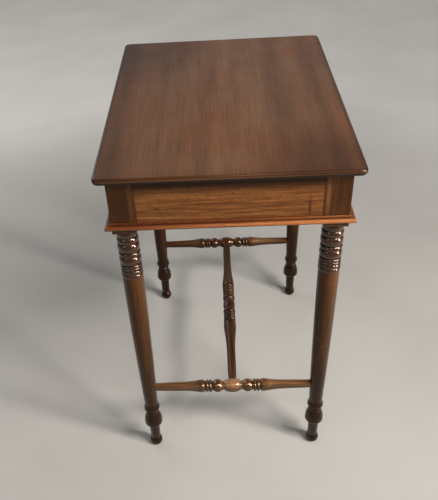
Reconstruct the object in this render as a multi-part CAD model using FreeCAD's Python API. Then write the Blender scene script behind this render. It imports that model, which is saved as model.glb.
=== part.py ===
import FreeCAD, Part
import math
import os
from collections import namedtuple

# Tavern table: a one-board top on a mortised frame, with ring-turned legs and an H of turned stretchers.
# Millimetres. The origin is on the floor under the table's middle, +X to the right, +Y to the rear, +Z up.

Vector = FreeCAD.Vector
ORIGIN = Vector(0, 0, 0)
ALONG_X = Vector(1, 0, 0)
ALONG_Y = Vector(0, 1, 0)
UP = Vector(0, 0, 1)

Ring = namedtuple("Ring", "height crown groove")
Station = namedtuple("Station", "distance diameter")
Side = namedtuple("Side", "name turn span reach screws blocks")

# Top board
table_height = 714.0
top_width = 424.0
top_length = 576.0
top_thickness = 12.0
top_corner_radius = 12.0
top_edge_round = 5.0
side_overhang = 17.0
end_overhang = 21.0

# Frame of leg blocks and aprons
leg_block_width = 42.0
leg_block_arris = 0.8
leg_block_drop = 11.5
apron_height = 94.5
apron_thickness = 20.0

# Mortise and tenon joints
tenon_thickness = 8.0
tenon_set_in = 6.0
tenon_length = 22.0
tenon_foot = 10.0
haunch_height = 18.0
haunch_length = 6.0
glue_gap = 0.1
socket_slack = 1.0

# Lip moulding round the foot of the frieze
lip_projection = 10.0
lip_nose_height = 8.0
lip_quirk_height = 1.0
lip_quirk_projection = 1.5
lip_fillet_height = 2.0
lip_fillet_projection = 3.5

# Foot, ankle, bulb and collar of a leg, from the floor up
foot_base_diameter = 20.0
foot_diameter = 27.4
foot_swell_height = 10.0
foot_height = 21.0
ankle_foot_diameter = 20.4
ankle_head_diameter = 23.0
ankle_height = 48.5
bulb_diameter = 38.6
bulb_underside_height = 7.5
bulb_taper_height = 29.0
bulb_neck_diameter = 24.6
neck_ring_diameter = 27.4
neck_ring_height = 7.0
collar_neck_diameter = 24.4
collar_neck_height = 6.0
collar_diameter = 33.4
collar_underside_height = 3.0
collar_flare_height = 16.0

# Tapered column of a leg, with two stations along its length that give it its swell
column_foot_diameter = 27.2
column_lower_diameter = 31.9
column_upper_diameter = 36.2
column_head_diameter = 38.0
column_lower_share = 0.26
column_upper_share = 0.62

# Rings over the column, from the lowest up: height, crown and the groove over each
column_ring = Ring(7.4, 39.2, 34.4)
lower_ring = Ring(8.2, 39.4, 34.4)
thin_ring = Ring(6.2, 38.6, 34.6)
upper_thin_ring = Ring(6.2, 38.2, 33.2)
lower_barrel = Ring(17.0, 39.4, 33.0)
middle_bead = Ring(10.0, 38.8, 32.8)
upper_barrel = Ring(18.0, 39.4, 32.6)
top_bead = Ring(13.0, 38.6, 33.0)
neck_bead = Ring(15.5, 37.6, 32.6)
leg_rings = (column_ring, lower_ring, thin_ring, upper_thin_ring, lower_barrel, middle_bead, upper_barrel,
             top_bead, neck_bead)
barrel_shoulder_height = 7.5

# Stretchers: height of their axes, ends and tenons
stretcher_height = 185.0
stretcher_end_diameter = 16.4
stretcher_end_land = 9.0
leg_seat = 10.5
leg_tenon_diameter = 12.0
leg_tenon_length = 15.5
barrel_seat = 9.5
barrel_tenon_diameter = 10.0
barrel_tenon_length = 15.0

# Cross stretcher, from its middle out to a leg
barrel_half_length = 16.5
barrel_diameter = 28.4
barrel_end_diameter = 20.6
cross_neck_length = 5.0
cross_neck_diameter = 18.0
cross_ball = Ring(19.0, 27.0, 18.4)
cross_gap_length = 2.5
cross_ring = Ring(5.2, 26.4, 20.4)
cross_ring_foot_diameter = 22.4
cross_groove_length = 1.8
cross_shoulder_length = 6.0
cross_shoulder_diameter = 27.0
cross_taper = (Station(7.0, 25.2), Station(17.0, 22.2), Station(38.0, 18.8))

# Long stretcher, from its middle out to a cross stretcher
middle_ball_half_length = 14.5
middle_ball_diameter = 27.6
middle_ball_end_diameter = 21.4
long_waist_length = 1.5
long_bead = Ring(14.5, 27.8, 21.4)
long_inner_ring = Ring(8.8, 26.2, 21.4)
long_middle_ring = Ring(9.0, 26.8, 21.4)
long_outer_ring = Ring(9.0, 27.2, 21.0)
long_groove_length = 1.4
long_shoulder_length = 6.0
long_shoulder_diameter = 27.8
long_taper = (Station(13.0, 27.4), Station(30.0, 24.6), Station(56.0, 20.4), Station(104.0, 18.2))

# Screws that hold the top, in pockets in the aprons' inner faces
screw_diameter = 4.5
screw_head_diameter = 8.6
screw_head_height = 2.6
screw_slot_width = 1.2
screw_slot_depth = 1.1
screw_bite = 7.0
screw_set_in = 9.0
pocket_diameter = 12.0
pocket_depth = 14.0
pocket_tilt = 18.0
end_screw_offset = 100.0
side_screw_offset = 150.0

# Glue blocks in the angle between the aprons and the top
glue_block_width = 24.0
glue_block_chamfer = 9.0
glue_block_length = 70.0
side_block_offset = 75.0

# Places that follow from the sizes above
frame_top = table_height - top_thickness
frame_width = top_width - 2 * side_overhang
frame_length = top_length - 2 * end_overhang
apron_bottom = frame_top - apron_height
block_bottom = apron_bottom - leg_block_drop
leg_x = (frame_width - leg_block_width) / 2
leg_y = (frame_length - leg_block_width) / 2
end_span = frame_width - 2 * leg_block_width
side_span = frame_length - 2 * leg_block_width

SIDES = (
    Side("front", 0.0, end_span, frame_length / 2, (-end_screw_offset, end_screw_offset), (0.0,)),
    Side("rear", 180.0, end_span, frame_length / 2, (-end_screw_offset, end_screw_offset), (0.0,)),
    Side("left", -90.0, side_span, frame_width / 2, (-side_screw_offset, 0.0, side_screw_offset),
         (-side_block_offset, side_block_offset)),
    Side("right", 90.0, side_span, frame_width / 2, (-side_screw_offset, 0.0, side_screw_offset),
         (-side_block_offset, side_block_offset)),
)


class Turning:
    """The half outline of a turned piece, in the XZ plane: Z runs along its axis and X out from it."""

    def __init__(self, height, diameter):
        self.edges = []
        self.point = Vector(diameter / 2, 0, height)

    def line(self, length, diameter):
        """Runs straight on to a new diameter."""
        end = self.point + Vector(diameter / 2 - self.point.x, 0, length)
        self.edges.append(Part.makeLine(self.point, end))
        self.point = end

    def arc(self, length, crown, diameter):
        """Swells, or hollows, to the crown half way along."""
        middle = Vector(crown / 2, 0, self.point.z + length / 2)
        end = Vector(diameter / 2, 0, self.point.z + length)
        self.edges.append(Part.Arc(self.point, middle, end).toShape())
        self.point = end

    def rise(self, length, diameter):
        """Swells to a crown, where it runs level with the axis."""
        self.quarter(Vector(diameter / 2, 0, self.point.z + length), self.point)

    def fall(self, length, diameter):
        """Falls away from a crown, where it starts level with the axis."""
        self.quarter(self.point, Vector(diameter / 2, 0, self.point.z + length))

    def cushion(self, ring, shoulder):
        """Runs straight over a ring's crown, between two rounded shoulders."""
        self.rise(shoulder, ring.crown)
        self.line(ring.height - 2 * shoulder, ring.crown)
        self.fall(shoulder, ring.groove)

    def flare(self, length, diameter):
        """Falls away from a crown in an S, and ends level with the axis."""
        end = Vector(diameter / 2, 0, self.point.z + length)
        middle = (self.point + end) * 0.5
        self.quarter(self.point, middle)
        self.quarter(end, middle)

    def quarter(self, crown, other):
        """Adds the arc between a crown, or a hollow, and another point, level with the axis at the crown."""
        along = other.z - crown.z
        drop = crown.x - other.x
        radius = (along * along + drop * drop) / (2 * drop)
        half_turn = math.atan2(drop, abs(along))
        rise = math.copysign(radius * math.sin(half_turn), along)
        middle = Vector(crown.x - radius * (1 - math.cos(half_turn)), 0, crown.z + rise)
        start, end = (crown, other) if other.z > crown.z else (other, crown)
        self.edges.append(Part.Arc(start, middle, end).toShape())
        self.point = end

    def curve(self, points):
        """Follows one smooth curve through stations of height and diameter."""
        stations = [self.point] + [Vector(diameter / 2, 0, height) for height, diameter in points]
        spline = Part.BSplineCurve()
        spline.interpolate(stations)
        self.edges.append(spline.toShape())
        self.point = stations[-1]

    def solid(self, both_ways=False):
        """Closes the outline on the axis and turns it; both_ways adds its mirror image below the start."""
        edges = list(self.edges)
        if both_ways:
            edges += [edge.mirror(ORIGIN, UP) for edge in self.edges]
        low = -self.point.z if both_ways else edges[0].Vertexes[0].Z
        low_radius = self.point.x if both_ways else edges[0].Vertexes[0].X
        high = self.point.z
        edges.append(Part.makeLine(self.point, Vector(0, 0, high)))
        edges.append(Part.makeLine(Vector(0, 0, high), Vector(0, 0, low)))
        edges.append(Part.makeLine(Vector(0, 0, low), Vector(low_radius, 0, low)))
        outline = Part.Wire(Part.__sortEdges__(edges))
        return Part.Face(outline).revolve(ORIGIN, UP, 360)


def box(low, high):
    """A box between two corners."""
    size = high - low
    return Part.makeBox(size.x, size.y, size.z, low)


def prism(points, direction):
    """A straight bar with a polygon for its section."""
    return Part.Face(Part.makePolygon(points + [points[0]])).extrude(direction)


def place(shape, side):
    """Moves a shape from a side's own frame, outer face at Y = 0 and inside towards +Y, to its side."""
    placed = shape.copy()
    placed.translate(Vector(0, -side.reach, 0))
    placed.rotate(ORIGIN, UP, side.turn)
    return placed


def make_top():
    """The top board, with rounded corners and edges and a blind hole over each screw."""
    half_x = top_width / 2
    half_y = top_length / 2
    board = box(Vector(-half_x, -half_y, frame_top), Vector(half_x, half_y, table_height))
    uprights = [edge for edge in board.Edges if abs(edge.tangentAt(edge.FirstParameter).z) > 0.5]
    board = board.makeFillet(top_corner_radius, uprights)
    rims = [edge for edge in board.Edges if abs(edge.BoundBox.ZMax - edge.BoundBox.ZMin) < glue_gap]
    board = board.makeFillet(top_edge_round, rims)
    holes = [place(screw_hole(x), side) for side in SIDES for x in side.screws]
    return board.cut(Part.makeCompound(holes))


def tenon(span, clearance, slack):
    """The haunched tenon at the +X end of an apron, or the room for it with a clearance and an end slack."""
    shoulder = span / 2
    front = tenon_set_in - clearance
    back = tenon_set_in + tenon_thickness + clearance
    foot = apron_bottom + tenon_foot - clearance
    step = frame_top - haunch_height + clearance
    body = box(Vector(shoulder, front, foot), Vector(shoulder + tenon_length + slack, back, step))
    haunch = box(Vector(shoulder, front, step), Vector(shoulder + haunch_length + slack, back, frame_top))
    return body.fuse(haunch)


def screw_axis(x):
    """The point where a screw passes the apron's top edge, and the direction down along it."""
    tilt = math.radians(pocket_tilt)
    return Vector(x, screw_set_in, frame_top), Vector(0, math.sin(tilt), -math.cos(tilt))


def screw_hole(x):
    """The hole for a screw's shank, from the pocket's floor up to its point."""
    point, down = screw_axis(x)
    length = screw_bite + socket_slack
    start = point - down * length
    return Part.makeCylinder(screw_diameter / 2 + glue_gap, length + pocket_depth, start, down)


def screw_pocket(x):
    """The scooped pocket that a screw's head sits in, open to the apron's inner face."""
    point, down = screw_axis(x)
    reach = (apron_thickness - screw_set_in + pocket_diameter) / down.y
    return Part.makeCylinder(pocket_diameter / 2, reach - pocket_depth, point + down * pocket_depth, down)


def make_screw(x):
    """A slotted screw with its head on the pocket's floor and its point in the top."""
    point, down = screw_axis(x)
    seat = point + down * pocket_depth
    tip = point - down * screw_bite
    shank = Part.makeCylinder(screw_diameter / 2, screw_bite + pocket_depth, tip, down)
    head = Part.makeCylinder(screw_head_diameter / 2, screw_head_height, seat, down)
    half_slot = Vector(screw_head_diameter, screw_slot_width / 2, screw_slot_depth)
    slot = box(half_slot * -1, half_slot)
    slot.rotate(ORIGIN, ALONG_X, pocket_tilt)
    slot.translate(seat + down * screw_head_height)
    return shank.fuse(head).cut(slot)


def make_apron(side):
    """A frieze board between two leg blocks, with a tenon at each end and pockets for the screws."""
    half = side.span / 2
    board = box(Vector(-half, 0, apron_bottom), Vector(half, apron_thickness, frame_top))
    right = tenon(side.span, 0.0, 0.0)
    left = right.mirror(ORIGIN, ALONG_X)
    board = board.fuse([right, left]).removeSplitter()
    cuts = [cut(x) for x in side.screws for cut in (screw_hole, screw_pocket)]
    return board.cut(Part.makeCompound(cuts))


def make_lip(side):
    """A length of lip moulding with a fillet, a quirk and a round nose, mitred at both ends."""
    nose = lip_nose_height / 2
    half = side.span / 2 + leg_block_width
    nose_back = lip_projection - nose
    quirk_top = lip_nose_height + lip_quirk_height
    lip_top = quirk_top + lip_fillet_height

    def at(projection, height):
        return Vector(-half - lip_projection, -projection, apron_bottom + height)

    corners = [at(nose_back, lip_nose_height), at(lip_quirk_projection, lip_nose_height),
               at(lip_quirk_projection, quirk_top), at(lip_fillet_projection, quirk_top),
               at(lip_fillet_projection, lip_top), at(0, lip_top), at(0, 0), at(nose_back, 0)]
    edges = Part.makePolygon(corners).Edges
    edges.append(Part.Arc(corners[-1], at(lip_projection, nose), corners[0]).toShape())
    section = Part.Face(Part.Wire(Part.__sortEdges__(edges)))
    bar = section.extrude(Vector(2 * (half + lip_projection), 0, 0))
    plan = [Vector(-half, 0, apron_bottom), Vector(half, 0, apron_bottom),
            Vector(half + lip_projection, -lip_projection, apron_bottom),
            Vector(-half - lip_projection, -lip_projection, apron_bottom)]
    return bar.common(prism(plan, Vector(0, 0, lip_top)))


def make_glue_blocks(side):
    """The softwood blocks rubbed into the angle between an apron and the top."""
    inner = apron_thickness
    outer = apron_thickness + glue_block_width
    foot = frame_top - glue_block_width
    blocks = []
    for x in side.blocks:
        start = x - glue_block_length / 2
        section = [Vector(start, inner, frame_top), Vector(start, outer, frame_top),
                   Vector(start, outer, foot + glue_block_chamfer),
                   Vector(start, outer - glue_block_chamfer, foot), Vector(start, inner, foot)]
        blocks.append(prism(section, Vector(glue_block_length, 0, 0)))
    return Part.makeCompound(blocks)


def turn_leg():
    """The turned length of a leg, from the floor to the foot of its block."""
    leg = Turning(0.0, foot_base_diameter)
    leg.rise(foot_swell_height, foot_diameter)
    leg.fall(foot_height - foot_swell_height, ankle_foot_diameter)
    leg.line(ankle_height, ankle_head_diameter)
    leg.rise(bulb_underside_height, bulb_diameter)
    leg.fall(bulb_taper_height, bulb_neck_diameter)
    leg.arc(neck_ring_height, neck_ring_diameter, collar_neck_diameter)
    leg.line(collar_neck_height, collar_neck_diameter)
    leg.rise(collar_underside_height, collar_diameter)
    leg.flare(collar_flare_height, column_foot_diameter)
    foot = leg.point.z
    head = block_bottom - sum(ring.height for ring in leg_rings)
    leg.curve([(foot + (head - foot) * column_lower_share, column_lower_diameter),
               (foot + (head - foot) * column_upper_share, column_upper_diameter),
               (head, column_head_diameter)])
    for ring in leg_rings:
        if ring in (lower_barrel, upper_barrel):
            leg.cushion(ring, barrel_shoulder_height)
        else:
            leg.arc(ring.height, ring.crown, ring.groove)
    return leg.solid()


def make_leg():
    """The front left leg: block and turning in one piece, with two mortises and a stretcher socket."""
    half = leg_block_width / 2
    block = box(Vector(-half, -half, block_bottom), Vector(half, half, frame_top))
    uprights = [edge for edge in block.Edges if abs(edge.tangentAt(edge.FirstParameter).z) > 0.5]
    block = block.makeFillet(leg_block_arris, uprights)
    leg = turn_leg().fuse(block)
    leg.translate(Vector(-leg_x, -leg_y, 0))
    front, left = SIDES[0], SIDES[2]
    front_room = tenon(front.span, glue_gap, socket_slack).mirror(ORIGIN, ALONG_X)
    left_room = tenon(left.span, glue_gap, socket_slack)
    end = Vector(-leg_x, -leg_y, stretcher_height)
    socket = socket_room(leg_seat, leg_tenon_diameter, leg_tenon_length)
    socket.rotate(ORIGIN, ALONG_Y, 90)
    socket.translate(end)
    return leg.cut([place(front_room, front), place(left_room, left), socket])


def socket_room(seat, tenon_diameter, length):
    """The room for a stretcher's end, along +Z: the shoulder is let in from the seat, the tenon is below."""
    shoulder_radius = stretcher_end_diameter / 2 + glue_gap
    shoulder = Part.makeCylinder(shoulder_radius, leg_block_width, Vector(0, 0, seat), UP)
    bottom = seat - length - socket_slack
    bore = Part.makeCylinder(tenon_diameter / 2 + glue_gap, length + socket_slack, Vector(0, 0, bottom), UP)
    return shoulder.fuse(bore)


def finish_stretcher(outline, taper, reach, seat, tenon_diameter, length):
    """Adds the long taper, the straight land at the end and the tenon, and turns both halves."""
    crown = outline.point.z
    land = reach - seat - stretcher_end_land
    stations = [(crown + station.distance, station.diameter) for station in taper]
    outline.curve(stations + [(land, stretcher_end_diameter)])
    outline.line(stretcher_end_land, stretcher_end_diameter)
    outline.line(0.0, tenon_diameter)
    outline.line(length, tenon_diameter)
    return outline.solid(both_ways=True)


def make_cross_stretcher():
    """A rail between two legs: barrel, balls, rings and long tapers, with a socket in the barrel's rear."""
    outline = Turning(0.0, barrel_diameter)
    outline.fall(barrel_half_length, barrel_end_diameter)
    outline.line(0.0, cross_neck_diameter)
    outline.line(cross_neck_length, cross_neck_diameter)
    outline.arc(cross_ball.height, cross_ball.crown, cross_ball.groove)
    outline.line(cross_gap_length, cross_ball.groove)
    for ring in (cross_ring, cross_ring):
        outline.line(0.0, cross_ring_foot_diameter)
        outline.arc(ring.height, ring.crown, cross_ring_foot_diameter)
        outline.line(0.0, ring.groove)
        outline.line(cross_groove_length, ring.groove)
    outline.rise(cross_shoulder_length, cross_shoulder_diameter)
    rail = finish_stretcher(outline, cross_taper, leg_x, leg_seat, leg_tenon_diameter, leg_tenon_length)
    rail.rotate(ORIGIN, ALONG_Y, 90)
    socket = socket_room(barrel_seat, barrel_tenon_diameter, barrel_tenon_length)
    socket.rotate(ORIGIN, ALONG_X, -90)
    rail = rail.cut(socket)
    rail.translate(Vector(0, -leg_y, stretcher_height))
    return rail


def make_long_stretcher():
    """The rail between the two cross stretchers: ball, beads, rings and long tapers."""
    outline = Turning(0.0, middle_ball_diameter)
    outline.fall(middle_ball_half_length, middle_ball_end_diameter)
    outline.line(long_waist_length, middle_ball_end_diameter)
    for ring in (long_bead, long_inner_ring, long_middle_ring, long_outer_ring):
        outline.arc(ring.height, ring.crown, ring.groove)
    outline.line(long_groove_length, long_outer_ring.groove)
    outline.rise(long_shoulder_length, long_shoulder_diameter)
    rail = finish_stretcher(outline, long_taper, leg_y, barrel_seat,
                            barrel_tenon_diameter, barrel_tenon_length)
    rail.rotate(ORIGIN, ALONG_X, 90)
    rail.translate(Vector(0, 0, stretcher_height))
    return rail


def build():
    """Every piece of the table by its name."""
    pieces = {"table_top": make_top()}
    front_left = make_leg()
    front_right = front_left.mirror(ORIGIN, ALONG_X)
    pieces["front_left_leg"] = front_left
    pieces["front_right_leg"] = front_right
    pieces["rear_left_leg"] = front_left.mirror(ORIGIN, ALONG_Y)
    pieces["rear_right_leg"] = front_right.mirror(ORIGIN, ALONG_Y)
    for side in SIDES:
        blocks = "glue_blocks" if len(side.blocks) > 1 else "glue_block"
        pieces[side.name + "_apron"] = place(make_apron(side), side)
        pieces[side.name + "_lip_moulding"] = place(make_lip(side), side)
        pieces[side.name + "_" + blocks] = place(make_glue_blocks(side), side)
    cross = make_cross_stretcher()
    pieces["front_cross_stretcher"] = cross
    pieces["rear_cross_stretcher"] = cross.mirror(ORIGIN, ALONG_Y)
    pieces["long_stretcher"] = make_long_stretcher()
    screws = [place(make_screw(x), side) for side in SIDES for x in side.screws]
    pieces["top_pocket_screws"] = Part.makeCompound(screws)
    return pieces


os.makedirs("parts", exist_ok=True)
for name, shape in build().items():
    shape.exportStep("parts/" + name + ".step")
    print(name, "solids", len(shape.Solids), "valid", shape.isValid(), "volume", round(shape.Volume))
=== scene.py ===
"""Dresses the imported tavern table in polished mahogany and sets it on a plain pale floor."""

import logging
import math
from dataclasses import dataclass, field, replace
from enum import Enum
from typing import ClassVar, Union

import bmesh
import bpy
from bpy.types import Material, Node, NodeSocket, NodeTree
from mathutils import Matrix, Vector


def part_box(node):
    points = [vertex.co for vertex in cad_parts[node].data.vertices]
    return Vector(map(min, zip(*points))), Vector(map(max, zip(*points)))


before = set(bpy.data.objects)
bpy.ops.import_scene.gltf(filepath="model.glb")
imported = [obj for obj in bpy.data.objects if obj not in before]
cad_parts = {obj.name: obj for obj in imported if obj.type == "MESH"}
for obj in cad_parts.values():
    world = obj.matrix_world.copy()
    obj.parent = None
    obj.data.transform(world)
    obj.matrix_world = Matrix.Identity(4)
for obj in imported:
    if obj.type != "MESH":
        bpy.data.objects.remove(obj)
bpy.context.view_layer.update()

log = logging.getLogger("tavern_table")

Point = tuple[float, float, float]
Colour = tuple[float, float, float, float]
# What a node's socket takes: another socket, or a value of its own
Feed = Union[NodeSocket, float, Point, Colour]

MM = 0.001
# Half the length of a mark that runs past both ends of its piece, in metres
ENDLESS = 9.0


def srgb(red: int, green: int, blue: int) -> Colour:
    """A colour as a painter's chart gives it, from 0 to 255, in the linear values that a shader takes.

    Args:
        red: The red part.
        green: The green part.
        blue: The blue part.

    Returns:
        The linear colour, opaque, by the sRGB curve.
    """
    parts = [part / 255 for part in (red, green, blue)]
    linear = [part / 12.92 if part <= 0.04045 else ((part + 0.055) / 1.055) ** 2.4 for part in parts]
    return (linear[0], linear[1], linear[2], 1.0)


# The tint that leaves a colour as it is
CLEAR = srgb(255, 255, 255)


class Grain(Enum):
    """The way that the fibres of a piece run, as the turn that brings them upright."""

    ALONG_X = (0.0, -math.pi / 2, 0.0)
    ALONG_Y = (math.pi / 2, 0.0, 0.0)
    ALONG_Z = (0.0, 0.0, 0.0)

    @property
    def axis(self) -> int:
        """The number of the axis that the fibres run along."""
        return list(Grain).index(self)

    def stretch(self, share: float) -> Point:
        """The scale that draws a pattern out along the fibres by one over the share."""
        return tuple(share if index == self.axis else 1.0 for index in range(3))


class Blend(Enum):
    """The way that one colour lies on another."""

    COVER = "MIX"
    SHADE = "MULTIPLY"


@dataclass(frozen=True)
class Mark:
    """One of the knots, stains, bruises or shaded patches in the wood, with half its length along each axis.
    """

    centre: Point
    size: Point
    colour: Colour
    strength: float
    blend: Blend = Blend.COVER


@dataclass(frozen=True)
class Zone:
    """A length of a piece along one axis, with a tint of its own and thicker polish."""

    grain: Grain
    low: float
    high: float
    tint: Colour = CLEAR
    soft: float = 5 * MM
    polish: float = 1.0
    share: float = 1.0
    blend: Blend = Blend.SHADE


@dataclass(frozen=True)
class Noise:
    """Soft noise: its features in a metre, its finer layers, and the values that are spread from 0 to 1."""

    scale: float
    detail: float = 3.0
    roughness: float = 0.55
    low: float = 0.0
    high: float = 1.0


class Bench:
    """A node tree, with a short way to add the nodes that mix values and colours."""

    # The places of a Mix node's colour sockets, which share their names with its number sockets
    BELOW: int = 6
    ABOVE: int = 7
    MIXED: int = 2

    def __init__(self, tree: NodeTree) -> None:
        """Takes up the tree."""
        self.nodes = tree.nodes
        self.links = tree.links

    def feed(self, socket: NodeSocket, value: Feed) -> None:
        """Links a socket to another one, or sets its value.

        Args:
            socket: The socket to feed.
            value: A socket, or a value for this one.
        """
        if isinstance(value, NodeSocket):
            self.links.new(value, socket)
        else:
            socket.default_value = value

    def math(self, operation: str, first: Feed, second: Feed) -> NodeSocket:
        """One sum on two values.

        Args:
            operation: The sum's name, such as MULTIPLY.
            first: A socket or a number.
            second: A socket or a number.

        Returns:
            The result, held between 0 and 1.
        """
        node = self.nodes.new("ShaderNodeMath")
        node.operation = operation
        node.use_clamp = True
        self.feed(node.inputs[0], first)
        self.feed(node.inputs[1], second)
        return node.outputs["Value"]

    def vector(self, operation: str, *terms: Feed) -> Node:
        """One sum on vectors.

        Args:
            operation: The sum's name, such as SUBTRACT.
            terms: One or two sockets or points.

        Returns:
            The node, with the result at its Vector or its Value.
        """
        node = self.nodes.new("ShaderNodeVectorMath")
        node.operation = operation
        for socket, term in zip(node.inputs, terms):
            self.feed(socket, term)
        return node

    def parts(self, vector: NodeSocket) -> list[NodeSocket]:
        """Takes a vector apart.

        Args:
            vector: The vector.

        Returns:
            Its three parts.
        """
        node = self.nodes.new("ShaderNodeSeparateXYZ")
        self.feed(node.inputs["Vector"], vector)
        return list(node.outputs)

    def ramp(self, value: NodeSocket, stops: dict[float, Colour]) -> NodeSocket:
        """Colours a value by stops along it.

        Args:
            value: The value to colour.
            stops: The colour at each place from 0 to 1.

        Returns:
            The colour.
        """
        node = self.nodes.new("ShaderNodeValToRGB")
        self.feed(node.inputs["Fac"], value)
        elements = node.color_ramp.elements
        while len(elements) < len(stops):
            elements.new(0.5)
        for element, (position, colour) in zip(elements, sorted(stops.items())):
            element.position = position
            element.color = colour
        return node.outputs["Color"]

    def mix(self, share: Feed, below: Feed, above: Feed, blend: Blend = Blend.COVER) -> NodeSocket:
        """Lays one colour over another.

        Args:
            share: How much of the upper colour shows.
            below: The lower colour.
            above: The upper colour.
            blend: The way that the upper one lies on the lower.

        Returns:
            The mixed colour.
        """
        node = self.nodes.new("ShaderNodeMix")
        node.data_type = "RGBA"
        node.blend_type = blend.value
        self.feed(node.inputs["Factor"], share)
        self.feed(node.inputs[self.BELOW], below)
        self.feed(node.inputs[self.ABOVE], above)
        return node.outputs[self.MIXED]

    def seen(self) -> NodeSocket:
        """Tells what is looked at from what only throws light on.

        Returns:
            1 where the surface is looked at, straight or in a gloss, and else 0.
        """
        path = self.nodes.new("ShaderNodeLightPath").outputs
        mirrored = self.math("ADD", path["Is Glossy Ray"], path["Is Transmission Ray"])
        return self.math("ADD", path["Is Camera Ray"], mirrored)


class Recipe(Bench):
    """The node tree of one material, with a short way to add each pattern of the wood."""

    RING_DETAIL: float = 3.0
    RING_DETAIL_SCALE: float = 1.6
    # How free the sight is from an open surface and from the bottom of a groove
    OPEN_SIGHT: float = 0.95
    CLOSED_SIGHT: float = 0.68
    SIGHT_SAMPLES: int = 6
    # How far the normal's upright part falls from where an underside starts to where it is full
    TILT_RANGE: float = 0.6
    # How well the rounded normal agrees with the true one on the flat and at a sharp edge
    FLAT_TURN: float = 0.99
    SHARP_TURN: float = 0.8
    TURN_SAMPLES: int = 4
    # The share of a spot's size that has its full strength
    SPOT_CORE: float = 0.25

    def __init__(self, name: str) -> None:
        """Starts a material with its shader and its object coordinates.

        Args:
            name: The material's name.
        """
        self.material: Material = bpy.data.materials.new(name)
        self.material.use_nodes = True
        super().__init__(self.material.node_tree)
        self.shader: Node = self.nodes["Principled BSDF"]
        self.place: NodeSocket = self.nodes.new("ShaderNodeTexCoord").outputs["Object"]

    def finish(self, name: str, value: Feed) -> None:
        """Feeds one of the shader's own sockets."""
        self.feed(self.shader.inputs[name], value)

    def mapping(self, grain: Grain, share: float, shift: Point) -> NodeSocket:
        """Turns the fibres upright and draws the pattern out along them.

        Args:
            grain: The way that the fibres run.
            share: How much of its length the pattern keeps along them, so a small share draws it out.
            shift: A move of the turned pattern, in metres.

        Returns:
            The coordinates that a texture of the wood reads.
        """
        node = self.nodes.new("ShaderNodeMapping")
        self.feed(node.inputs["Vector"], self.place)
        node.inputs["Scale"].default_value = grain.stretch(share)
        node.inputs["Rotation"].default_value = grain.value
        node.inputs["Location"].default_value = shift
        return node.outputs["Vector"]

    def span(self, value: Feed, low: float, high: float, start: float = 0.0, end: float = 1.0) -> NodeSocket:
        """Maps a range of values to another, and holds what lies beyond it.

        Args:
            value: The value to map.
            low: The value that becomes the start.
            high: The value that becomes the end.
            start: What the low value becomes.
            end: What the high value becomes.

        Returns:
            The mapped value.
        """
        node = self.nodes.new("ShaderNodeMapRange")
        self.feed(node.inputs["Value"], value)
        for name, number in (("From Min", low), ("From Max", high), ("To Min", start), ("To Max", end)):
            node.inputs[name].default_value = number
        return node.outputs["Result"]

    def noise(self, vector: NodeSocket, pattern: Noise, start: float = 0.0, end: float = 1.0) -> NodeSocket:
        """Soft noise, spread between two values.

        Args:
            vector: The coordinates that it reads.
            pattern: The noise.
            start: The value where it is lowest.
            end: The value where it is highest.

        Returns:
            The noise's value.
        """
        node = self.nodes.new("ShaderNodeTexNoise")
        self.feed(node.inputs["Vector"], vector)
        node.inputs["Scale"].default_value = pattern.scale
        node.inputs["Detail"].default_value = pattern.detail
        node.inputs["Roughness"].default_value = pattern.roughness
        return self.span(node.outputs["Fac"], pattern.low, pattern.high, start, end)

    def rings(self, vector: NodeSocket, scale: float, wander: float) -> NodeSocket:
        """Growth rings round the pith, from 0 to 1.

        Args:
            vector: The coordinates that they read, with the pith at the middle.
            scale: How close the rings are.
            wander: How far they wander from true circles.

        Returns:
            The value of the rings.
        """
        node = self.nodes.new("ShaderNodeTexWave")
        node.wave_type = "RINGS"
        node.rings_direction = "Z"
        self.feed(node.inputs["Vector"], vector)
        node.inputs["Scale"].default_value = scale
        node.inputs["Distortion"].default_value = wander
        node.inputs["Detail"].default_value = self.RING_DETAIL
        node.inputs["Detail Scale"].default_value = self.RING_DETAIL_SCALE
        return node.outputs["Fac"]

    def hollow(self, reach: float) -> NodeSocket:
        """How closed in the surface is by the piece itself.

        Args:
            reach: How far off a wall still counts, in metres.

        Returns:
            0 in the open, up to 1 at the bottom of a groove.
        """
        node = self.nodes.new("ShaderNodeAmbientOcclusion")
        node.samples = self.SIGHT_SAMPLES
        node.only_local = True
        node.inputs["Distance"].default_value = reach
        return self.span(node.outputs["AO"], self.OPEN_SIGHT, self.CLOSED_SIGHT)

    def underside(self, start: float) -> NodeSocket:
        """How far the surface faces the floor.

        Args:
            start: The upright part of the normal from which it counts.

        Returns:
            0 at the start, up to 1 where the surface is turned well down from it.
        """
        normal = self.nodes.new("ShaderNodeNewGeometry").outputs["Normal"]
        upright = self.parts(normal)[Grain.ALONG_Z.axis]
        return self.span(upright, start, start - self.TILT_RANGE)

    def arris(self, radius: float) -> NodeSocket:
        """How near a sharp edge the surface is.

        Args:
            radius: How far from the edge it counts, in metres.

        Returns:
            0 on the flat, up to 1 at the edge.
        """
        bevel = self.nodes.new("ShaderNodeBevel")
        bevel.samples = self.TURN_SAMPLES
        bevel.inputs["Radius"].default_value = radius
        normal = self.nodes.new("ShaderNodeNewGeometry").outputs["Normal"]
        turn = self.vector("DOT_PRODUCT", bevel.outputs["Normal"], normal)
        return self.span(turn.outputs["Value"], self.FLAT_TURN, self.SHARP_TURN)

    def spot(self, centre: Point, size: Point) -> NodeSocket:
        """A soft spot in the wood, 1 at its core and 0 at its edge.

        Args:
            centre: Where it is, in metres.
            size: Half its length along each axis, in metres.

        Returns:
            The strength of the spot.
        """
        away = self.vector("SUBTRACT", self.place, centre)
        scaled = self.vector("DIVIDE", away.outputs["Vector"], size)
        length = self.vector("LENGTH", scaled.outputs["Vector"])
        return self.span(length.outputs["Value"], 1.0, self.SPOT_CORE)

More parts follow.
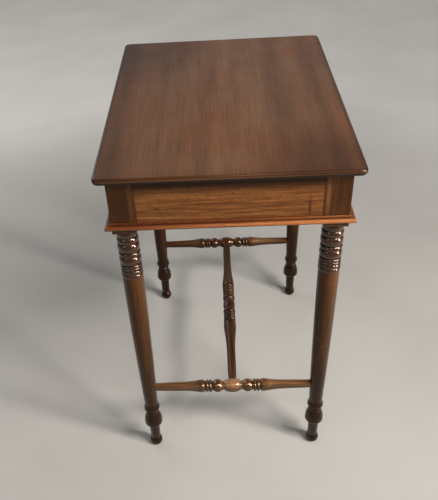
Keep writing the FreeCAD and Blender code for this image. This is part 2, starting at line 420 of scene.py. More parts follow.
    def lay(self, colour: NodeSocket, marks: tuple[Mark, ...]) -> NodeSocket:
        """Lays marks on the wood, one over the other.

        Args:
            colour: The colour that they lie on.
            marks: The marks, from the lowest up.

        Returns:
            The colour with its marks.
        """
        for mark in marks:
            share = self.math("MULTIPLY", self.spot(mark.centre, mark.size), mark.strength)
            colour = self.mix(share, colour, mark.colour, mark.blend)
        return colour

    def between(self, zone: Zone) -> NodeSocket:
        """Where a zone lies: 1 along it and 0 beyond its soft ends.

        Args:
            zone: The length of the piece.

        Returns:
            The strength of the zone.
        """
        along = self.parts(self.place)[zone.grain.axis]
        rise = self.span(along, zone.low - zone.soft, zone.low)
        fall = self.span(along, zone.high + zone.soft, zone.high)
        return self.math("MULTIPLY", rise, fall)

    def bump(self, height: NodeSocket, strength: float, depth: float) -> None:
        """Gives the shader a fine relief.

        Args:
            height: The relief, from 0 to 1.
            strength: How much of it shows.
            depth: Its full depth in metres.
        """
        node = self.nodes.new("ShaderNodeBump")
        node.inputs["Strength"].default_value = strength
        node.inputs["Distance"].default_value = depth
        self.feed(node.inputs["Height"], height)
        self.finish("Normal", node.outputs["Normal"])


@dataclass(frozen=True)
class Mahogany:
    """French-polished mahogany: rings, fibres and pores, dark waxed hollows, painted shade on its undersides
    and worn arrises.
    """

    BANDS: ClassVar[Noise] = Noise(26.0, detail=2.0, low=0.3, high=0.7)
    FIBRES: ClassVar[Noise] = Noise(330.0, detail=4.0, roughness=0.62, low=0.34, high=0.66)
    PORES: ClassVar[Noise] = Noise(1500.0, detail=1.0, low=0.58, high=0.7)
    BLUSH: ClassVar[Noise] = Noise(9.0, detail=1.0, low=0.4, high=0.7)
    DASHES: ClassVar[Noise] = Noise(300.0, roughness=0.6, low=0.5, high=0.7)
    SMEARS: ClassVar[Noise] = Noise(24.0, low=0.3, high=0.75)

    pale: Colour
    mid: Colour
    dark: Colour
    gloss_low: float
    gloss_high: float
    coat: float
    coat_roughness: float
    specular: float = 0.2
    sheen_tint: Colour = srgb(255, 222, 186)
    thick_coat: float = 0.15
    thick_gloss: float = 0.14
    coat_break: float = 0.3
    red_tint: Colour = srgb(255, 226, 206)
    blush_share: float = 0.75
    ring_scale: float = 18.0
    ring_wander: float = 5.0
    ring_share: float = 0.15
    streak_share: float = 0.5
    pore_share: float = 0.45
    mottle: float = 0.0
    figure_stretch: float = 0.1
    fibre_stretch: float = 0.025
    dash_stretch: float = 0.35
    relief_share: float = 0.12
    relief_depth: float = 0.15 * MM
    arris_radius: float = 1.6 * MM
    worn_bands: tuple[float, float] = (0.1, 0.8)
    least_wear: float = 0.2
    wear: float = 0.45
    # The colour of the waxed hollows, and also of the painted shade on undersides
    wax_and_underside_shade: Colour = srgb(22, 13, 9)
    wax_share: float = 0.94
    wax_dulling: float = 0.35
    hollow_reach: float = 7 * MM
    # How far a surface faces the floor before painted shade starts, and how dark that painted shade gets
    underside_start: float = -0.05
    underside_shade_share: float = 0.8

    def figure(self, recipe: Recipe, grain: Grain,
               shift: Point) -> tuple[NodeSocket, NodeSocket, NodeSocket]:
        """The pattern of the bare wood.

        Args:
            recipe: The material that it belongs to.
            grain: The way that the piece's fibres run.
            shift: The piece's place in the tree.

        Returns:
            The colour, the broad bands in it, and the relief of its fibres and pores.
        """
        broad = recipe.mapping(grain, self.figure_stretch, shift)
        fine = recipe.mapping(grain, self.fibre_stretch, shift)
        short = recipe.mapping(grain, self.dash_stretch, shift)
        rings = recipe.rings(broad, self.ring_scale, self.ring_wander)
        bands = recipe.noise(broad, self.BANDS)
        fibres = recipe.noise(fine, self.FIBRES)
        pores = recipe.noise(fine, self.PORES)
        streak_tone = recipe.math("MULTIPLY", fibres, self.streak_share)
        band_tone = recipe.math("MULTIPLY", bands, 1 - self.streak_share - self.ring_share / 2)
        ring_tone = recipe.math("MULTIPLY", rings, self.ring_share)
        tone = recipe.math("ADD", recipe.math("ADD", streak_tone, band_tone), ring_tone)
        colour = recipe.ramp(tone, {0.12: self.dark, 0.5: self.mid, 0.9: self.pale})
        blush = recipe.noise(recipe.place, self.BLUSH, 0.0, self.blush_share)
        colour = recipe.mix(blush, colour, self.red_tint, Blend.SHADE)
        colour = recipe.mix(recipe.math("MULTIPLY", pores, self.pore_share), colour, self.dark)
        colour = recipe.mix(recipe.noise(short, self.DASHES, 0.0, self.mottle), colour, self.dark)
        return colour, bands, recipe.math("SUBTRACT", fibres, pores)

    def tint(self, recipe: Recipe, colour: NodeSocket, zones: tuple[Zone, ...]) -> tuple[NodeSocket, Feed]:
        """Tints the zones of a piece.

        Args:
            recipe: The material that they belong to.
            colour: The colour that they lie on.
            zones: The zones, from the lowest up.

        Returns:
            The colour with its zones, and how thick the polish lies, from 0 to 1.
        """
        thick: Feed = 0.0
        for zone in zones:
            length = recipe.between(zone)
            colour = recipe.mix(recipe.math("MULTIPLY", length, zone.share), colour, zone.tint, zone.blend)
            thick = recipe.math("ADD", thick, recipe.math("MULTIPLY", length, zone.polish))
        return colour, thick

    def polish(self, recipe: Recipe, hollow: NodeSocket, thick: Feed) -> None:
        """Gives the shader its gloss, which is dulled in the hollows and on the undersides.

        Args:
            recipe: The material to polish.
            hollow: How far the hollows are waxed and the surface faces the floor, from 0 to 1.
            thick: How thick the polish lies, from 0 to 1.
        """
        smears = recipe.noise(recipe.place, self.SMEARS, self.gloss_low, self.gloss_high)
        gloss = recipe.math("SUBTRACT", smears, recipe.math("MULTIPLY", thick, self.thick_gloss))
        dulling = recipe.math("MULTIPLY", hollow, self.wax_dulling)
        coat = recipe.span(thick, 0.0, 1.0, self.coat, self.thick_coat)
        unbroken = recipe.span(hollow, self.coat_break, 1.0, 1.0, 0.0)
        recipe.finish("Roughness", recipe.math("ADD", gloss, dulling))
        recipe.finish("Specular IOR Level", self.specular)
        recipe.finish("Specular Tint", self.sheen_tint)
        recipe.finish("Coat Weight", recipe.math("MULTIPLY", coat, unbroken))
        recipe.finish("Coat Roughness", self.coat_roughness)

    def material(self, name: str, grain: Grain, shift: Point, marks: tuple[Mark, ...] = (),
                 zones: tuple[Zone, ...] = ()) -> Material:
        """The finish of one piece, cut from its own part of the tree.

        Args:
            name: The material's name.
            grain: The way that the piece's fibres run.
            shift: The piece's place in the tree: across it twice, then along it.
            marks: The knots and stains that show on it.
            zones: The lengths that are tinted or thickly polished.

        Returns:
            The material.
        """
        recipe = Recipe(name)
        colour, bands, relief = self.figure(recipe, grain, shift)
        colour, thick = self.tint(recipe, colour, zones)
        colour = recipe.lay(colour, marks)
        patches = recipe.span(bands, *self.worn_bands, self.least_wear, self.wear)
        worn = recipe.math("MULTIPLY", recipe.arris(self.arris_radius), patches)
        colour = recipe.mix(worn, colour, self.pale)
        # Painted shade: surfaces that face the floor are darkened like the waxed hollows
        under = recipe.math("MULTIPLY", recipe.underside(self.underside_start), self.underside_shade_share)
        hollow = recipe.math("MAXIMUM", recipe.hollow(self.hollow_reach), under)
        colour = recipe.mix(recipe.math("MULTIPLY", hollow, self.wax_share), colour, self.wax_and_underside_shade)
        recipe.finish("Base Color", colour)
        self.polish(recipe, hollow, thick)
        recipe.bump(relief, self.relief_share, self.relief_depth)
        return recipe.material


@dataclass(frozen=True)
class Softwood:
    """Bare sawn softwood, browned by age, with strong rings and dust in its grain."""

    FIBRES: ClassVar[Noise] = Noise(500.0)
    SAW_MARKS: ClassVar[Noise] = Noise(60.0, detail=1.0)

    pale: Colour = srgb(186, 148, 98)
    mid: Colour = srgb(160, 120, 74)
    dark: Colour = srgb(116, 78, 44)
    figure_stretch: float = 0.08
    fibre_stretch: float = 0.04
    saw_mark_stretch: float = 14.0
    ring_scale: float = 60.0
    ring_wander: float = 3.0
    ring_share: float = 0.6
    hollow_reach: float = 10 * MM
    fibre_ends: tuple[float, float] = (0.2, 0.8)
    roughness_low: float = 0.66
    roughness_high: float = 0.86
    relief_share: float = 0.35
    relief_depth: float = 0.3 * MM

    def material(self, name: str, grain: Grain, shift: Point) -> Material:
        """The finish of the blocks on one side.

        Args:
            name: The material's name.
            grain: The way that the fibres run.
            shift: The piece's place in the tree.

        Returns:
            The material.
        """
        recipe = Recipe(name)
        figure = recipe.mapping(grain, self.figure_stretch, shift)
        rings = recipe.rings(figure, self.ring_scale, self.ring_wander)
        fibres = recipe.noise(recipe.mapping(grain, self.fibre_stretch, shift), self.FIBRES)
        saw_marks = recipe.noise(recipe.mapping(grain, self.saw_mark_stretch, shift), self.SAW_MARKS)
        ring_tone = recipe.math("MULTIPLY", rings, self.ring_share)
        tone = recipe.math("ADD", ring_tone, recipe.math("MULTIPLY", fibres, 1 - self.ring_share))
        colour = recipe.ramp(tone, {0.15: self.dark, 0.5: self.mid, 0.85: self.pale})
        recipe.finish("Base Color", recipe.mix(recipe.hollow(self.hollow_reach), colour, self.dark))
        roughness = recipe.span(fibres, *self.fibre_ends, self.roughness_low, self.roughness_high)
        recipe.finish("Roughness", roughness)
        recipe.bump(recipe.math("ADD", fibres, saw_marks), self.relief_share, self.relief_depth)
        return recipe.material


@dataclass(frozen=True)
class DullIron:
    """Old screw iron, dulled and browned in its slot."""

    BLOTCHES: ClassVar[Noise] = Noise(420.0, detail=4.0)
    RUSTING: ClassVar[Noise] = Noise(160.0, low=0.5, high=0.66)

    bright: Colour = srgb(122, 116, 108)
    dull: Colour = srgb(70, 62, 55)
    rust: Colour = srgb(92, 54, 34)
    dull_end: float = 0.3
    bright_end: float = 0.7
    dull_roughness: float = 0.55
    bright_roughness: float = 0.38
    metallic: float = 0.85
    relief_share: float = 0.2
    relief_depth: float = 0.1 * MM

    def material(self, name: str) -> Material:
        """The finish of the screws.

        Args:
            name: The material's name.

        Returns:
            The material.
        """
        recipe = Recipe(name)
        blotches = recipe.noise(recipe.place, self.BLOTCHES)
        ends = (self.dull_end, self.bright_end)
        colour = recipe.ramp(blotches, dict(zip(ends, (self.dull, self.bright))))
        rusted = recipe.noise(recipe.place, self.RUSTING)
        recipe.finish("Base Color", recipe.mix(rusted, colour, self.rust))
        recipe.finish("Roughness", recipe.span(blotches, *ends, self.dull_roughness, self.bright_roughness))
        recipe.finish("Metallic", self.metallic)
        recipe.bump(blotches, self.relief_share, self.relief_depth)
        return recipe.material


def dress(node: str, material: Material) -> None:
    """Puts a finish on a piece of the frame and reports it.

    Args:
        node: The piece's name.
        material: Its finish.
    """
    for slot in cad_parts[node].material_slots:
        slot.material = material
    log.info("dressed %s in %s", node, material.name)


def farther(pith: Point, step: int) -> Point:
    """The place in the tree of a piece that is so many steps from the first."""
    return tuple(Vector(pith) * step)


def middle_of(node: str) -> Vector:
    """The middle of a piece's box."""
    low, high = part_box(node)
    return (low + high) / 2


@dataclass(frozen=True)
class Patch:
    """A patch of the top with a tone of its own: its middle, half its length each way, and its strength."""

    x: float
    y: float
    half_x: float
    half_y: float
    strength: float


@dataclass
class TableTop:
    """The one-board top, grain along its length."""

    node: str = "table_top"
    wood: Mahogany = Mahogany(
        pale=srgb(118, 83, 57), mid=srgb(98, 67, 45), dark=srgb(78, 52, 34), gloss_low=0.3, gloss_high=0.42,
        coat=0.1, coat_roughness=0.1, thick_coat=0.8, specular=0.3, ring_scale=9.0, ring_share=0.2, wear=0.3,
    )
    pith: Point = (0.06, 0.32, 0.4)
    # Dark end grain at the two ends, and painted shade on the lower half of the edge all round
    end_grain_and_edge_shade: Colour = srgb(18, 9, 5)
    red_edge: Colour = srgb(62, 32, 12)
    # A painted highlight along the upper round of the edge
    painted_highlight_line: Colour = srgb(112, 78, 56)
    warm: Colour = srgb(255, 236, 214)
    shade: Colour = srgb(168, 164, 160)
    patch_depth: float = 0.1
    faded: tuple[Patch, ...] = (
        Patch(-0.035, -0.15, 0.07, 0.08, 0.6),
        Patch(-0.03, 0.05, 0.03, 0.2, 0.5),
    )
    darkened: tuple[Patch, ...] = (
        Patch(0.1, 0.0, 0.04, 0.26, 0.55),
        Patch(-0.11, -0.02, 0.016, 0.3, 0.3),
        Patch(0.02, 0.06, 0.012, 0.3, 0.25),
        Patch(0.17, -0.26, 0.16, 0.16, 0.85),
        Patch(-0.2, -0.27, 0.12, 0.2, 0.55),
        Patch(0.2, 0.05, 0.09, 0.4, 0.5),
        Patch(-0.2, 0.05, 0.09, 0.4, 0.5),
        Patch(-0.17, 0.25, 0.16, 0.2, 0.75),
    )
    front_polish: float = 8 * MM
    # How far below the upper face each part of the edge starts, and the painted highlight line ends
    red_edge_top: float = 0.8 * MM
    edge_shade_top: float = 6.6 * MM
    highlight_line_top: float = 4.7 * MM
    highlight_line_foot: float = 5.8 * MM

    def marks(self) -> tuple[Mark, ...]:
        """The faded middle and the darker sides and edges.

        Returns:
            The marks, from the lowest up.
        """
        low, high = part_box(self.node)
        edges = (
            Patch(0.0, low.y, 0.3, 30 * MM, 0.35),
            Patch(low.x, 0.0, 9 * MM, ENDLESS, 1.0),
            Patch(high.x, 0.0, 10 * MM, ENDLESS, 0.8),
            Patch(0.0, high.y, ENDLESS, 9 * MM, 0.7),
        )
        toned = ((self.faded, self.warm), (self.darkened, self.shade), (edges, self.shade))
        return tuple(
            Mark((patch.x, patch.y, high.z), (patch.half_x, patch.half_y, self.patch_depth), colour,
                 patch.strength, Blend.SHADE)
            for patches, colour in toned for patch in patches
        )

    def zones(self) -> tuple[Zone, ...]:
        """The red edge, the dark end grain and painted shade on the edge's lower half all round, a painted
        highlight line along the edge's round, and the polish along the front.

        Returns:
            The zones, from the lowest up.
        """
        low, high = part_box(self.node)
        upright = Grain.ALONG_Z
        return (
            Zone(upright, low.z, high.z - self.red_edge_top, self.red_edge,
                 soft=0.7 * MM, polish=0.0, share=0.9, blend=Blend.COVER),
            # End grain, with painted shade on the edge's lower half
            Zone(upright, low.z, high.z - self.edge_shade_top, self.end_grain_and_edge_shade,
                 soft=0.8 * MM, polish=0.0, blend=Blend.COVER),
            # Painted highlight line along the edge
            Zone(upright, high.z - self.highlight_line_foot, high.z - self.highlight_line_top, self.painted_highlight_line,
                 soft=0.8 * MM, polish=0.0, share=0.75, blend=Blend.COVER),
            Zone(Grain.ALONG_Y, low.y, low.y + self.front_polish, soft=2 * MM, polish=0.1),
        )

    def dress(self) -> None:
        """Polishes the board."""
        finish = self.wood.material("top_board_polish", Grain.ALONG_Y, self.pith, self.marks(), self.zones())
        dress(self.node, finish)


@dataclass
class Legs:
    """The four turned legs, grain upright, each from its own square, and how strongly painted shade darkens
    each near its foot.
    """

    # How strongly painted shade darkens each leg towards its foot
    foot_shade: dict[str, float] = field(default_factory=lambda: {
        "front_left_leg": 0.65, "front_right_leg": 1.0, "rear_left_leg": 0.75, "rear_right_leg": 1.0,
    })
    wood: Mahogany = Mahogany(
        pale=srgb(86, 55, 29), mid=srgb(64, 40, 20), dark=srgb(39, 22, 11), gloss_low=0.2, gloss_high=0.3,
        coat=0.03, coat_roughness=0.06, thick_coat=0.8, specular=0.36, sheen_tint=srgb(255, 205, 158),
    )
    pith: Point = (0.21, 0.13, 0.37)
    foot_and_bulb: Zone = Zone(Grain.ALONG_Z, 0.0, 0.14, srgb(158, 112, 92), polish=0.2)
    ring_stack: Zone = Zone(Grain.ALONG_Z, 0.497, 0.597, srgb(178, 156, 140))
    # Dark stained blocks, with painted shade that makes the left ones darker
    block_stain_and_shade: Colour = srgb(40, 16, 8)
    left_stain_and_shade: float = 0.95
    right_stain_and_shade: float = 0.62
    stain_drop: float = 50 * MM
    stain_size: Point = (60 * MM, 60 * MM, 70 * MM)
    golden: Colour = srgb(128, 86, 48)
    left_stripe: float = 0.2
    right_stripe: float = 0.5
    stripe_inward: float = 16 * MM
    stripe_drop: float = 45 * MM
    stripe_size: Point = (5 * MM, 20 * MM, 52 * MM)
    # The colour of the painted shade on the lower legs
    shade: Colour = srgb(130, 118, 112)
    shade_size: Point = (0.1, 0.1, 0.5)
    low_column_height: float = 0.19
    low_column_size: Point = (0.1, 0.1, 0.09)
    low_column_easing: float = 0.35

    def marks(self, node: str) -> tuple[Mark, ...]:
        """A leg's stained block, darker on the left by painted shade, the paler stripe by its seam with the
        apron, and the painted shade on the lower leg.

        Args:
            node: The leg's name.

        Returns:
            The marks, from the lowest up.
        """
        low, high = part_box(node)
        x, y = middle_of(node).xy
        is_left = node.endswith("left_leg")
        stain_and_shade = self.left_stain_and_shade if is_left else self.right_stain_and_shade
        stripe = self.left_stripe if is_left else self.right_stripe
        stripe_x = x - math.copysign(self.stripe_inward, x)
        foot_shade = self.foot_shade[node]
        low_column_shade = foot_shade - self.low_column_easing
        return (
            Mark((x, y, high.z - self.stain_drop), self.stain_size, self.block_stain_and_shade, stain_and_shade),
            Mark((stripe_x, low.y, high.z - self.stripe_drop), self.stripe_size, self.golden, stripe),
            # Painted shade, deepest at the foot and again low on the column
            Mark((x, y, 0.0), self.shade_size, self.shade, foot_shade, Blend.SHADE),
            Mark((x, y, self.low_column_height), self.low_column_size, self.shade, low_column_shade, Blend.SHADE),
        )

    def dress(self) -> None:
        """Polishes each leg, moving on through the tree from one to the next."""
        zones = (self.foot_and_bulb, self.ring_stack)
        for step, node in enumerate(self.foot_shade, start=1):
            shift = farther(self.pith, step)
            dress(node, self.wood.material(node + "_polish", Grain.ALONG_Z, shift, self.marks(node), zones))


@dataclass
class Frieze:
    """The four aprons and the lip moulding under them."""

    sides: dict[str, Grain] = field(default_factory=lambda: {
        "front": Grain.ALONG_X, "rear": Grain.ALONG_X, "left": Grain.ALONG_Y, "right": Grain.ALONG_Y,
    })
    board: Mahogany = Mahogany(
        pale=srgb(143, 95, 52), mid=srgb(112, 71, 36), dark=srgb(74, 42, 19), gloss_low=0.3, gloss_high=0.44,
        coat=0.15, coat_roughness=0.2, ring_scale=30.0, ring_wander=9.0, ring_share=0.12,
        fibre_stretch=0.05, mottle=0.6,
    )
    # Dark red for the lip's waxed hollows and painted underside shade, the painted shade at its left end,
    # and other darker bands and lips
    red_wax_and_shade: Colour = srgb(66, 29, 14)
    lip: Mahogany = Mahogany(
        pale=srgb(170, 107, 61), mid=srgb(140, 83, 45), dark=srgb(99, 55, 29), gloss_low=0.22,
        gloss_high=0.36, coat=0.35, coat_roughness=0.12, wax_and_underside_shade=red_wax_and_shade,
    )
    pith: Point = (0.17, -0.11, 0.29)
    # Dark brown for knots, for the joints and for the painted shadow under the top
    knot_seam_and_shadow: Colour = srgb(34, 16, 9)
    bruise: Colour = srgb(54, 28, 14)
    # Painted light on the front lip's right end
    painted_light_tone: Colour = srgb(158, 103, 60)
    spot_depth: float = 6 * MM
    band_depth: float = 12 * MM
    foot_band_rise: float = 10.5 * MM
    foot_band_half: float = 8 * MM
    overhang_shadow_drop: float = 7 * MM
    overhang_shadow_half: float = 33 * MM
    seam_inset: float = 0.5 * MM
    seam_size: Point = (4.6 * MM, 20 * MM, ENDLESS)
    lip_depth: float = 0.05
    lip_head_strip: float = 3 * MM
    # Half lengths of the painted shade on the lip's left end and of the painted light on its right end
    shaded_end_half: float = 0.26
    lit_end_half: float = 0.2

    def spots(self) -> tuple[Mark, ...]:
        """The knots and bruises that show on the front apron.

        Returns:
            The marks, from the lowest up.
        """
        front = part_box("front_apron")[0].y
        return tuple(
            Mark((x, front, z), (half_x, self.spot_depth, half_z), colour, strength)
            for x, z, half_x, half_z, colour, strength in (
                (-0.1167, 0.6437, 5.5 * MM, 2.2 * MM, self.knot_seam_and_shadow, 1.0),
                (-0.0495, 0.6504, 3.8 * MM, 2.4 * MM, self.bruise, 0.8),
                (-0.0283, 0.6373, 8.0 * MM, 3.4 * MM, self.bruise, 0.35),
                (0.006, 0.6689, 3.0 * MM, 2.2 * MM, self.bruise, 0.8),
                (0.1295, 0.638, 3.6 * MM, 26.0 * MM, self.bruise, 0.85),
                (0.127, 0.6478, 9.0 * MM, 3.0 * MM, self.bruise, 0.7),
            )
        )

    def seams(self) -> tuple[Mark, ...]:
        """The dark band along the front apron's foot, the painted shadow of the top along its head, and the
        dark joints at its two ends.

        Returns:
            The marks, from the lowest up.
        """
        low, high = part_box("front_apron")
        right_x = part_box("front_right_leg")[0].x + self.seam_inset
        left_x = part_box("front_left_leg")[1].x - self.seam_inset
        foot_size = (ENDLESS, self.band_depth, self.foot_band_half)
        overhang_shadow_size = (ENDLESS, self.band_depth, self.overhang_shadow_half)
        return (
            Mark((0.0, low.y, low.z + self.foot_band_rise), foot_size, self.red_wax_and_shade, 0.6),
            # Painted shadow of the top's overhang along the apron's head
            Mark((0.0, low.y, high.z - self.overhang_shadow_drop), overhang_shadow_size, self.knot_seam_and_shadow, 0.98),
            Mark((right_x, low.y, low.z), self.seam_size, self.knot_seam_and_shadow, 0.95),
            Mark((left_x, low.y, low.z), self.seam_size, self.knot_seam_and_shadow, 0.9),
        )

    def lip_marks(self, side: str) -> tuple[Mark, ...]:
        """The painted shade on the left end and the painted light on the right end of the front lip, a
        darker strip along its head, and the darker other lips.

        Args:
            side: The side of the frieze that the lip runs along.

        Returns:
            The marks, from the lowest up.
        """
        node = side + "_lip_moulding"
        low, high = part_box(node)
        if side != "front":
            return (Mark(tuple(middle_of(node)), (ENDLESS, ENDLESS, ENDLESS), self.red_wax_and_shade, 0.6),)
        depth = self.lip_depth
        return (
            Mark((0.0, low.y, high.z), (ENDLESS, depth, self.lip_head_strip), self.red_wax_and_shade, 0.6),
            # Painted shade on the left end and painted light on the right end
            Mark((low.x, low.y, low.z), (self.shaded_end_half, depth, depth), self.red_wax_and_shade, 0.65),
            Mark((high.x, low.y, low.z), (self.lit_end_half, depth, depth), self.painted_light_tone, 0.5),
        )

    def dress(self) -> None:
        """Polishes each apron and each length of moulding."""
        for step, (side, grain) in enumerate(self.sides.items(), start=1):
            marks = self.spots() + self.seams() if side == "front" else ()
            shift = farther(self.pith, step)
            dress(side + "_apron", self.board.material(side + "_apron_polish", grain, shift, marks))
            shift = farther(self.pith, step + len(self.sides))
            lip = self.lip.material(side + "_lip_polish", grain, shift, self.lip_marks(side))
            dress(side + "_lip_moulding", lip)


@dataclass
class Stretchers:
    """The H of turned rails: the front one worn paler by feet, the long one dull."""

    front: str = "front_cross_stretcher"
    rear: str = "rear_cross_stretcher"
    long: str = "long_stretcher"
    wood: Mahogany = Mahogany(
        pale=srgb(88, 58, 34), mid=srgb(62, 39, 21), dark=srgb(40, 23, 12), gloss_low=0.15, gloss_high=0.22,
        coat=0.06, coat_roughness=0.05, thick_coat=0.3, thick_gloss=0.05, specular=0.5,
        sheen_tint=srgb(255, 205, 158), underside_start=0.6,
    )
    rubbed_wood: Mahogany = replace(
        wood, pale=srgb(142, 101, 63), mid=srgb(107, 73, 44), dark=srgb(68, 44, 26), gloss_low=0.13,
        gloss_high=0.2, coat=0.7, thick_coat=0.4, specular=1.0, sheen_tint=srgb(255, 215, 170),
        red_tint=srgb(255, 238, 224), underside_start=0.75,
    )
    dull_wood: Mahogany = replace(
        wood, pale=srgb(92, 60, 35), mid=srgb(66, 41, 22), dark=srgb(42, 24, 12), gloss_low=0.3,
        gloss_high=0.38, coat=0.02, thick_gloss=0.1, specular=0.3,
    )
    pith: Point = (0.11, 0.19, 0.43)
    turned_half: float = 68 * MM
    turned_tint: Colour = srgb(212, 196, 182)
    # Pale gold for wear and painted light on the cross rails
    golden: Colour = srgb(190, 146, 102)
    # The colour of the painted shade on the long rail
    shade: Colour = srgb(160, 150, 146)
    barrel_half: float = 30 * MM
    shoulder_x: float = 75 * MM
    shoulder_half: float = 40 * MM
    arm_x: float = 95 * MM
    arm_half: float = 60 * MM
    rubbed_and_lit_depth: float = 40 * MM
    front_shade_half: float = 0.22
    rear_shade_half: float = 0.26
    shade_depth: float = 60 * MM

    def rubbed_and_lit_length(self, node: str, along: float, half: float, strength: float) -> Mark:
        """A length of a cross rail that is paler, by wear and by painted light.

        Args:
            node: The rail's name.
            along: How far to the right of the rail's middle it lies.
            half: Half its length.
            strength: How much paler it is, from 0 to 1.

        Returns:
            The mark.
        """
        x, y, z = middle_of(node)
        return Mark((x + along, y, z), (half, self.rubbed_and_lit_depth, self.rubbed_and_lit_depth), self.golden, strength)

    def front_marks(self) -> tuple[Mark, ...]:
        """The barrel of the front rail, worn pale by feet and brightened by a painted highlight, and its
        right shoulder, paler by painted light.
        """
        return (self.rubbed_and_lit_length(self.front, 0.0, self.barrel_half, strength=0.46),
                self.rubbed_and_lit_length(self.front, self.shoulder_x, self.shoulder_half, strength=0.04))

    def rear_marks(self) -> tuple[Mark, ...]:
        """The right arm of the rear rail, paler by painted light."""
        return (self.rubbed_and_lit_length(self.rear, self.arm_x, self.arm_half, strength=0.18),)

    def long_marks(self) -> tuple[Mark, ...]:
        """The painted shade on the long rail: lighter on its front arm, deepest on its rear arm.

        Returns:
            The marks, from the lowest up.
        """
        low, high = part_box(self.long)
        x, _, z = middle_of(self.long)
        depth = self.shade_depth
        return (
            Mark((x, low.y, z), (depth, self.front_shade_half, depth), self.shade, 0.35, Blend.SHADE),
            Mark((x, high.y, z), (depth, self.rear_shade_half, depth), self.shade, 0.9, Blend.SHADE),
        )

    def dress(self) -> None:
        """Polishes each rail."""
        rails = (
            (self.front, Grain.ALONG_X, self.rubbed_wood, self.front_marks()),
            (self.rear, Grain.ALONG_X, self.wood, self.rear_marks()),
            (self.long, Grain.ALONG_Y, self.dull_wood, self.long_marks()),
        )
        for step, (node, grain, wood, marks) in enumerate(rails, start=1):
            shift = farther(self.pith, step)
            zones = (Zone(grain, -self.turned_half, self.turned_half, self.turned_tint),)
            dress(node, wood.material(node + "_polish", grain, shift, marks, zones))


@dataclass
class InnerWork:
    """The glue blocks and screws under the top."""

    blocks: dict[str, Grain] = field(default_factory=lambda: {
        "front_glue_block": Grain.ALONG_X, "rear_glue_block": Grain.ALONG_X,
        "left_glue_blocks": Grain.ALONG_Y, "right_glue_blocks": Grain.ALONG_Y,
    })
    screws: str = "top_pocket_screws"
    softwood: Softwood = Softwood()
    iron: DullIron = DullIron()
    pith: Point = (0.05, 0.08, 0.31)

    def dress(self) -> None:
        """Leaves the blocks bare and the screws dull."""
        for step, (node, grain) in enumerate(self.blocks.items(), start=1):
            dress(node, self.softwood.material(node + "_softwood", grain, farther(self.pith, step)))
        dress(self.screws, self.iron.material("screw_iron_dull"))


@dataclass(frozen=True)
class Lamp:
    """An oblong soft light that looks at a point, with its width level and its spread in degrees."""

    name: str
    place: Point
    target: Point
    size: tuple[float, float]
    power: float
    colour: tuple[float, float, float]
    spread: float = 180.0

    def hang(self) -> None:
        """Adds the light to the scene."""
        light = bpy.data.lights.new(self.name, "AREA")
        light.shape = "RECTANGLE"
        light.size, light.size_y = self.size
        light.energy = self.power
        light.color = self.colour
        light.spread = math.radians(self.spread)
        lamp = bpy.data.objects.new(self.name, light)
        lamp.location = self.place
        sight = Vector(self.target) - Vector(self.place)
        lamp.rotation_euler = sight.to_track_quat("-Z", "Y").to_euler()
        bpy.context.scene.collection.objects.link(lamp)


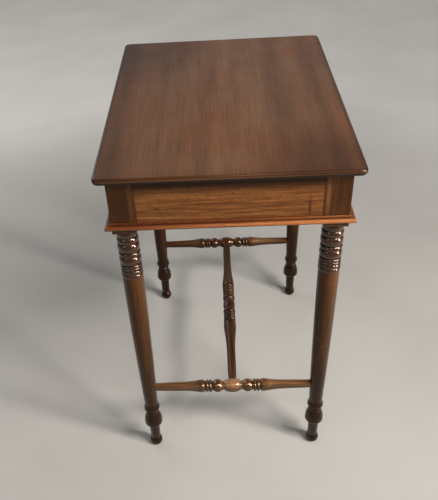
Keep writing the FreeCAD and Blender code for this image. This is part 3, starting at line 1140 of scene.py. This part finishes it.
@dataclass
class Studio:
    """The plain floor, the soft light and the camera."""

    MOTTLE: ClassVar[Noise] = Noise(3.0, low=0.3, high=0.7)

    floor_half: float = 9.0
    floor_colour: Colour = srgb(182, 178, 172)
    floor_shade: Colour = srgb(174, 170, 164)
    floor_bounce: Colour = srgb(86, 80, 72)
    floor_roughness: float = 0.85
    floor_specular: float = 0.2
    far_glow: float = 0.6
    far_start: float = 0.5
    far_end: float = 1.6
    skirting_colour: Colour = srgb(120, 120, 120)
    wall_colour: Colour = srgb(174, 176, 178)
    ceiling_colour: Colour = srgb(100, 102, 106)
    # The upward part of a heading that meets the wall, and of one that meets the ceiling
    wall_height: float = 0.4
    ceiling_height: float = 0.62
    room_colour: Colour = srgb(58, 59, 62)
    rear_colour: Colour = srgb(150, 151, 154)
    lamps: tuple[Lamp, ...] = (
        Lamp("right_window", (1.17, -1.08, 1.79), (0.0, -0.1, 0.5), (0.6, 0.26),
             power=43.5, colour=(1.0, 0.97, 0.92)),
        Lamp("side_window", (1.77, -0.93, 1.0), (0.0, -0.1, 0.62), (0.3, 1.2),
             power=9.0, colour=(1.0, 0.97, 0.93), spread=70.0),
        Lamp("ceiling_light", (0.12, -1.3, 1.9), (0.0, -0.1, 0.3), (0.24, 0.08),
             power=3.5, colour=(1.0, 0.95, 0.88)),
        Lamp("rear_window", (-1.9, 1.5, 1.9), (0.0, 0.0, 0.4), (2.0, 2.0),
             power=22.0, colour=(0.97, 0.98, 1.0)),
        Lamp("left_window", (-1.1, -1.35, 1.6), (0.0, -0.1, 0.5), (0.14, 0.5),
             power=4.0, colour=(0.95, 0.98, 1.0)),
    )
    camera_place: Point = (-0.01532, -1.13589, 1.22628)
    camera_yaw: float = -3.463
    camera_pitch: float = 38.905
    camera_roll: float = 4.049
    camera_lens: float = 46.662
    camera_sensor: float = 36.0
    camera_shift: tuple[float, float] = (0.0564, 0.0316)

    def paint_floor(self) -> Material:
        """The floor's pale paint, seen brighter away from the table and throwing little light on.

        Returns:
            The material.
        """
        recipe = Recipe("pale_floor_paint")
        mottle = recipe.noise(recipe.place, self.MOTTLE)
        paint = recipe.mix(mottle, self.floor_colour, self.floor_shade)
        seen = recipe.seen()
        away = recipe.vector("LENGTH", recipe.place).outputs["Value"]
        glow = recipe.span(away, self.far_start, self.far_end, 0.0, self.far_glow)
        recipe.finish("Base Color", recipe.mix(seen, self.floor_bounce, paint))
        recipe.finish("Emission Color", paint)
        recipe.finish("Emission Strength", recipe.math("MULTIPLY", glow, seen))
        recipe.finish("Roughness", self.floor_roughness)
        recipe.finish("Specular IOR Level", self.floor_specular)
        return recipe.material

    def lay_floor(self) -> None:
        """Lays a wide plain floor under the feet."""
        mesh = bpy.data.meshes.new("pale_floor")
        shape = bmesh.new()
        bmesh.ops.create_grid(shape, x_segments=2, y_segments=2, size=self.floor_half)
        shape.to_mesh(mesh)
        shape.free()
        floor = bpy.data.objects.new("pale_floor", mesh)
        bpy.context.scene.collection.objects.link(floor)
        mesh.materials.append(self.paint_floor())

    def light(self) -> None:
        """Fills the room with soft light, more of it from the rear, and hangs the lamps."""
        world = bpy.data.worlds.new("soft_room")
        world.use_nodes = True
        bench = Bench(world.node_tree)
        heading = bench.nodes.new("ShaderNodeTexCoord").outputs["Generated"]
        _, rearward, upward = bench.parts(heading)
        walls = bench.ramp(upward, {
            0.0: self.skirting_colour, self.wall_height: self.wall_colour,
            self.ceiling_height: self.ceiling_colour,
        })
        fill = bench.ramp(rearward, {0.0: self.room_colour, 1.0: self.rear_colour})
        bench.feed(bench.nodes["Background"].inputs["Color"], bench.mix(bench.seen(), fill, walls))
        bpy.context.scene.world = world
        for lamp in self.lamps:
            lamp.hang()

    def place_camera(self) -> None:
        """Stands the camera where the portrait was taken from."""
        turns = (self.camera_yaw, self.camera_pitch, self.camera_roll)
        yaw, pitch, roll = (math.radians(turn) for turn in turns)
        level = math.cos(pitch)
        ahead = Vector((math.sin(yaw) * level, math.cos(yaw) * level, -math.sin(pitch)))
        across = Vector((math.cos(yaw), -math.sin(yaw), 0.0))
        down = ahead.cross(across)
        right = across * math.cos(roll) + down * math.sin(roll)
        lower = down * math.cos(roll) - across * math.sin(roll)
        lens = bpy.data.cameras.new("portrait")
        lens.sensor_width = self.camera_sensor
        lens.lens = self.camera_lens
        lens.shift_x, lens.shift_y = self.camera_shift
        camera = bpy.data.objects.new("portrait", lens)
        turn = Matrix((right, -lower, -ahead)).transposed().to_4x4()
        camera.matrix_world = Matrix.Translation(self.camera_place) @ turn
        bpy.context.scene.collection.objects.link(camera)
        bpy.context.scene.camera = camera

    def build(self) -> None:
        """Makes the whole studio."""
        self.lay_floor()
        self.light()
        self.place_camera()
        bpy.context.scene.view_settings.view_transform = "Standard"


def main() -> None:
    """Dresses the table piece by piece and sets it in the studio."""
    logging.basicConfig(level=logging.INFO, format="%(message)s")
    for assembly in (TableTop(), Legs(), Frieze(), Stretchers(), InnerWork()):
        assembly.dress()
        log.info("finished the %s", type(assembly).__name__)
    Studio().build()


if __name__ == "__main__":
    main()
